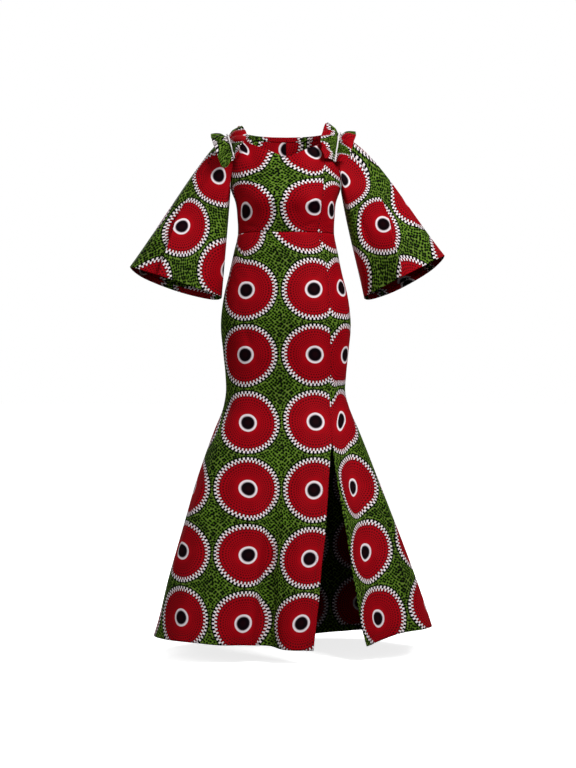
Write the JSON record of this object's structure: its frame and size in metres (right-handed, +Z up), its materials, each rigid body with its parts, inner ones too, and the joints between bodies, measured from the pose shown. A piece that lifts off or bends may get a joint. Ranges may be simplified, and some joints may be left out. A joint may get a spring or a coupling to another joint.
{
  "type": "wax print dress",
  "caption": "Floor-length fitted wax-print dress with a flared skirt, side slit, shallow V neck, bell sleeves and corded shoulder bows, in its worn hollow form.",
  "frame": {"origin": "midway between the two shoulder seams, where the wearer's shoulders carry the dress", "axes": "+X to the wearer's left, -Y to the front, +Z up"},
  "size_m": [0.8182, 0.5406, 1.3753],
  "materials": {
    "printed_cotton": "smooth wax-printed plain-weave cotton with a low sheen",
    "white_cord": "matt twisted cotton"
  },
  "bodies": {
    "root": {"bodice_front": "printed_cotton", "bodice_side_front": "printed_cotton", "bodice_back_right": "printed_cotton", "bodice_back_left": "printed_cotton", "skirt_front": "printed_cotton", "skirt_side_front": "printed_cotton", "skirt_back_right": "printed_cotton", "skirt_back_left": "printed_cotton", "sleeve_right": "printed_cotton", "sleeve_left": "printed_cotton", "bow_right": "printed_cotton", "bow_left": "printed_cotton", "bow_cord_right": "white_cord", "bow_cord_left": "white_cord"}
  },
  "joints": []
}
